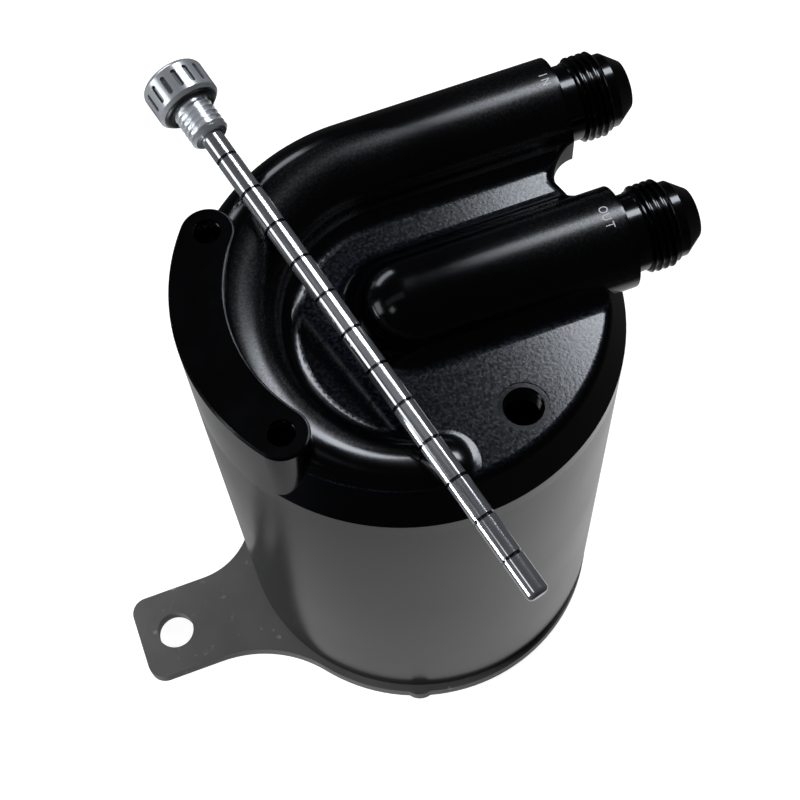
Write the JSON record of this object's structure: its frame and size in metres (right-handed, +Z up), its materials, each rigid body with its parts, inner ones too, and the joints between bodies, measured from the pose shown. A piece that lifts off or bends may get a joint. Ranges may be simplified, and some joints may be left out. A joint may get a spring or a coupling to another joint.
{
  "type": "oil catch can",
  "caption": "Round black engine oil catch can with a machined lid and threaded hose ends, an eared bracket under its base and its dipstick laid across the lid.",
  "frame": {"origin": "on the can's axis at the can's lower edge, in the top face of the bracket", "axes": "+X the way both hose ends point, +Z up along the can's axis"},
  "size_m": [0.1712, 0.1516, 0.1852],
  "materials": {
    "black_lid": "black anodised, glossy, with milling marks on the flat",
    "black_can": "black anodised, satin",
    "bracket_black": "black coated sheet, satin",
    "plain_aluminium": "bare, turned",
    "bright_steel": "bright",
    "seal_rubber": "matte"
  },
  "bodies": {
    "root": {"lid": "black_lid", "lid_o_ring": "seal_rubber", "outlet_tube": "plain_aluminium", "baffle_plate": "plain_aluminium", "baffle_standoffs": "plain_aluminium", "baffle_screws": "bright_steel", "can_body": "black_can", "drain_plug": "bright_steel", "drain_washer": "plain_aluminium", "mounting_bracket": "bracket_black", "bracket_screws": "bright_steel", "dipstick_cap": "plain_aluminium", "dipstick_o_ring": "seal_rubber", "dipstick_rod": "bright_steel"}
  },
  "joints": []
}
